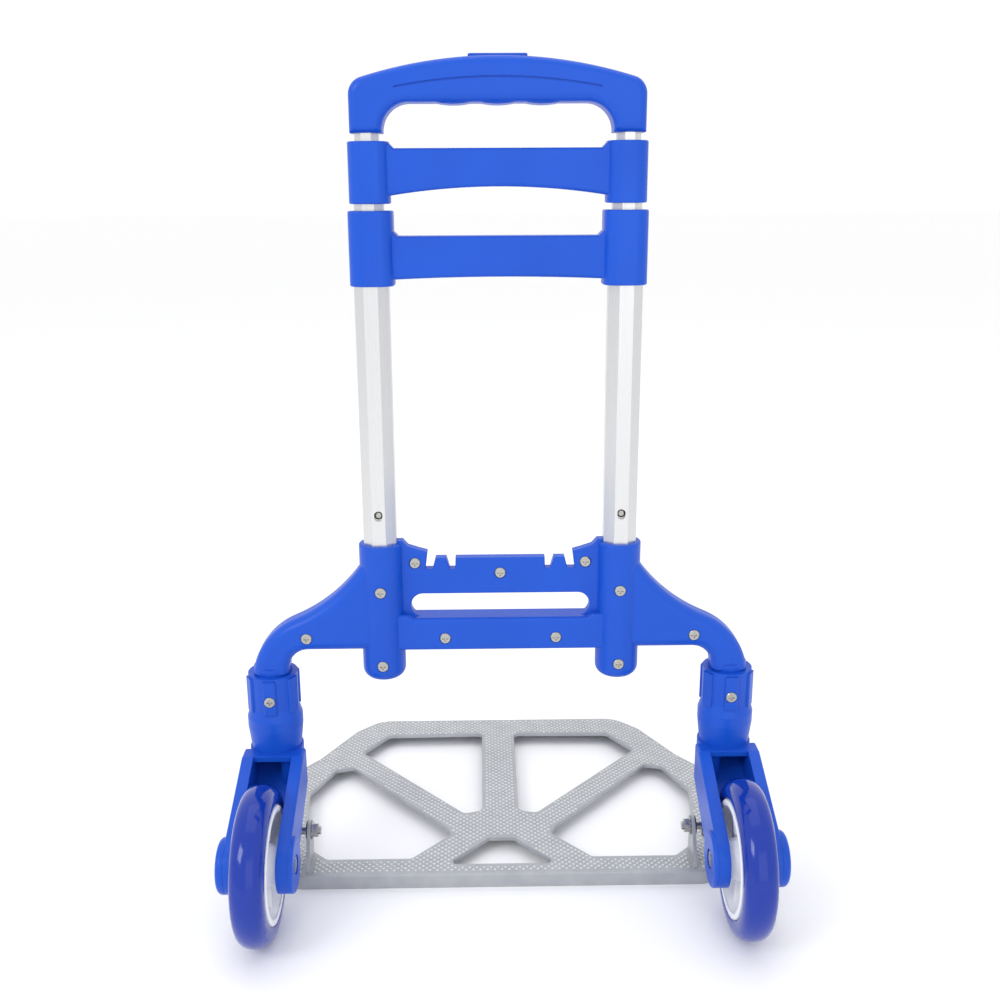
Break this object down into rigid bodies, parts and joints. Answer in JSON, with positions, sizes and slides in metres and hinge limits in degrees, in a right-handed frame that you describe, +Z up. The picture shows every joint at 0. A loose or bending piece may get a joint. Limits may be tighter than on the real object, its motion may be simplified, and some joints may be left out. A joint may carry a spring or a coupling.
{
  "type": "folding platform cart",
  "caption": "Folding two-wheel hand cart with a two-stage telescoping handle, swivelling wheel forks and a fold-up windowed load platform.",
  "frame": {"origin": "on the floor, mid-width, straight below the plane of the handle tubes", "axes": "+Z up, +Y towards the load platform, +X to the right seen from behind"},
  "size_m": [0.449, 0.4115, 0.674],
  "materials": {
    "blue_plastic": "satin moulded plastic",
    "aluminium": "satin anodised",
    "platform_aluminium": "cast, satin grey",
    "zinc_steel": "zinc plated",
    "tyre": "glossy blue polyurethane",
    "white_plastic": "moulded",
    "black_plastic": "moulded"
  },
  "bodies": {
    "frame": {"base_rear_cover": "blue_plastic", "base_front_cover": "blue_plastic", "cover_screws": "zinc_steel", "outer_tube_left": "aluminium", "outer_tube_right": "aluminium", "outer_tube_end_plugs": "black_plastic", "lower_crossbar": "blue_plastic", "outer_guide_bushes": "black_plastic"},
    "middle_stage": {"middle_tube_left": "aluminium", "middle_tube_right": "aluminium", "upper_crossbar": "blue_plastic", "middle_guide_bushes": "black_plastic", "middle_slide_shoes": "black_plastic"},
    "middle_pins": {"middle_lock_pin_left": "zinc_steel", "middle_lock_pin_right": "zinc_steel"},
    "handle_stage": {"inner_tube_left": "aluminium", "inner_tube_right": "aluminium", "inner_slide_shoes": "black_plastic", "handle_rear_shell": "blue_plastic", "handle_front_shell": "blue_plastic", "handle_screws": "zinc_steel", "button_spring": "zinc_steel"},
    "handle_pins": {"handle_lock_pin_left": "zinc_steel", "handle_lock_pin_right": "zinc_steel"},
    "button": {"release_button": "blue_plastic"},
    "ear_bushes": {"ear_bush_left": "black_plastic", "ear_bush_right": "black_plastic"},
    "platform_tray": {"platform": "platform_aluminium"},
    "left_fork": {"fork_left": "blue_plastic", "swivel_screw_left": "zinc_steel", "axle_bolt_left": "zinc_steel", "axle_nut_left": "zinc_steel"},
    "left_wheel": {"tyre_left": "tyre", "wheel_hub_left": "white_plastic", "wheel_bearings_left": "zinc_steel"},
    "left_pivot": {"pivot_block_left": "zinc_steel", "hinge_bolt_left": "zinc_steel", "hinge_washer_left": "zinc_steel", "hinge_nut_left": "zinc_steel"},
    "right_fork": {"fork_right": "blue_plastic", "swivel_screw_right": "zinc_steel", "axle_bolt_right": "zinc_steel", "axle_nut_right": "zinc_steel"},
    "right_wheel": {"tyre_right": "tyre", "wheel_hub_right": "white_plastic", "wheel_bearings_right": "zinc_steel"},
    "right_pivot": {"pivot_block_right": "zinc_steel", "hinge_bolt_right": "zinc_steel", "hinge_washer_right": "zinc_steel", "hinge_nut_right": "zinc_steel"}
  },
  "joints": [
    {"name": "middle_stage_slide", "type": "slide", "parent": "frame", "child": "middle_stage", "axis": [0, 0, 1], "range_m": [0, 0.19]},
    {"name": "handle_slide", "type": "slide", "parent": "middle_stage", "child": "handle_stage", "axis": [0, 0, 1], "range_m": [0, 0.14]},
    {"name": "release_button_press", "type": "slide", "parent": "handle_stage", "child": "button", "axis": [0, 0, -1], "range_m": [0, 0.003], "stiffness_N_per_m": 400, "deforming": ["button_spring"]},
    {"name": "middle_pin_slide", "type": "slide", "parent": "middle_stage", "child": "middle_pins", "axis": [0, 1, 0], "range_m": [0, 0.003]},
    {"name": "handle_pin_slide", "type": "slide", "parent": "handle_stage", "child": "handle_pins", "axis": [0, 1, 0], "range_m": [0, 0.003]},
    {"name": "ear_bush_travel", "type": "slide", "parent": "frame", "child": "ear_bushes", "axis": [0, 1, 0], "range_m": [0, 0.0241]},
    {"name": "platform_fold", "type": "hinge", "parent": "ear_bushes", "child": "platform_tray", "pos_m": [0, -0.012, 0.04], "axis": [1, 0, 0], "range_deg": [0, 90]},
    {"name": "left_fork_swivel", "type": "hinge", "parent": "frame", "child": "left_fork", "pos_m": [-0.193, 0, 0.15], "axis": [0, 0, 1], "range_deg": [0, 90]},
    {"name": "left_pivot_turn", "type": "hinge", "parent": "left_fork", "child": "left_pivot", "pos_m": [-0.181, -0.012, 0.04], "axis": [0, 0, 1], "range_deg": [-90, 0]},
    {"name": "left_wheel_spin", "type": "hinge", "parent": "left_fork", "child": "left_wheel", "pos_m": [-0.193, -0.098, 0.0625], "axis": [1, 0, 0], "continuous": true},
    {"name": "right_fork_swivel", "type": "hinge", "parent": "frame", "child": "right_fork", "pos_m": [0.193, 0, 0.15], "axis": [0, 0, 1], "range_deg": [-90, 0]},
    {"name": "right_pivot_turn", "type": "hinge", "parent": "right_fork", "child": "right_pivot", "pos_m": [0.181, -0.012, 0.04], "axis": [0, 0, 1], "range_deg": [0, 90]},
    {"name": "right_wheel_spin", "type": "hinge", "parent": "right_fork", "child": "right_wheel", "pos_m": [0.193, -0.098, 0.0625], "axis": [1, 0, 0], "continuous": true}
  ],
  "couplings": [
    {"joint": "ear_bush_travel", "follows": "platform_fold", "m_per_rad": 0.015279},
    {"joint": "left_fork_swivel", "follows": "platform_fold", "ratio": 1},
    {"joint": "right_fork_swivel", "follows": "platform_fold", "ratio": -1},
    {"joint": "left_pivot_turn", "follows": "platform_fold", "ratio": -1},
    {"joint": "right_pivot_turn", "follows": "platform_fold", "ratio": 1},
    {"joint": "middle_pin_slide", "follows": "release_button_press", "ratio": 1},
    {"joint": "handle_pin_slide", "follows": "release_button_press", "ratio": 1}
  ]
}
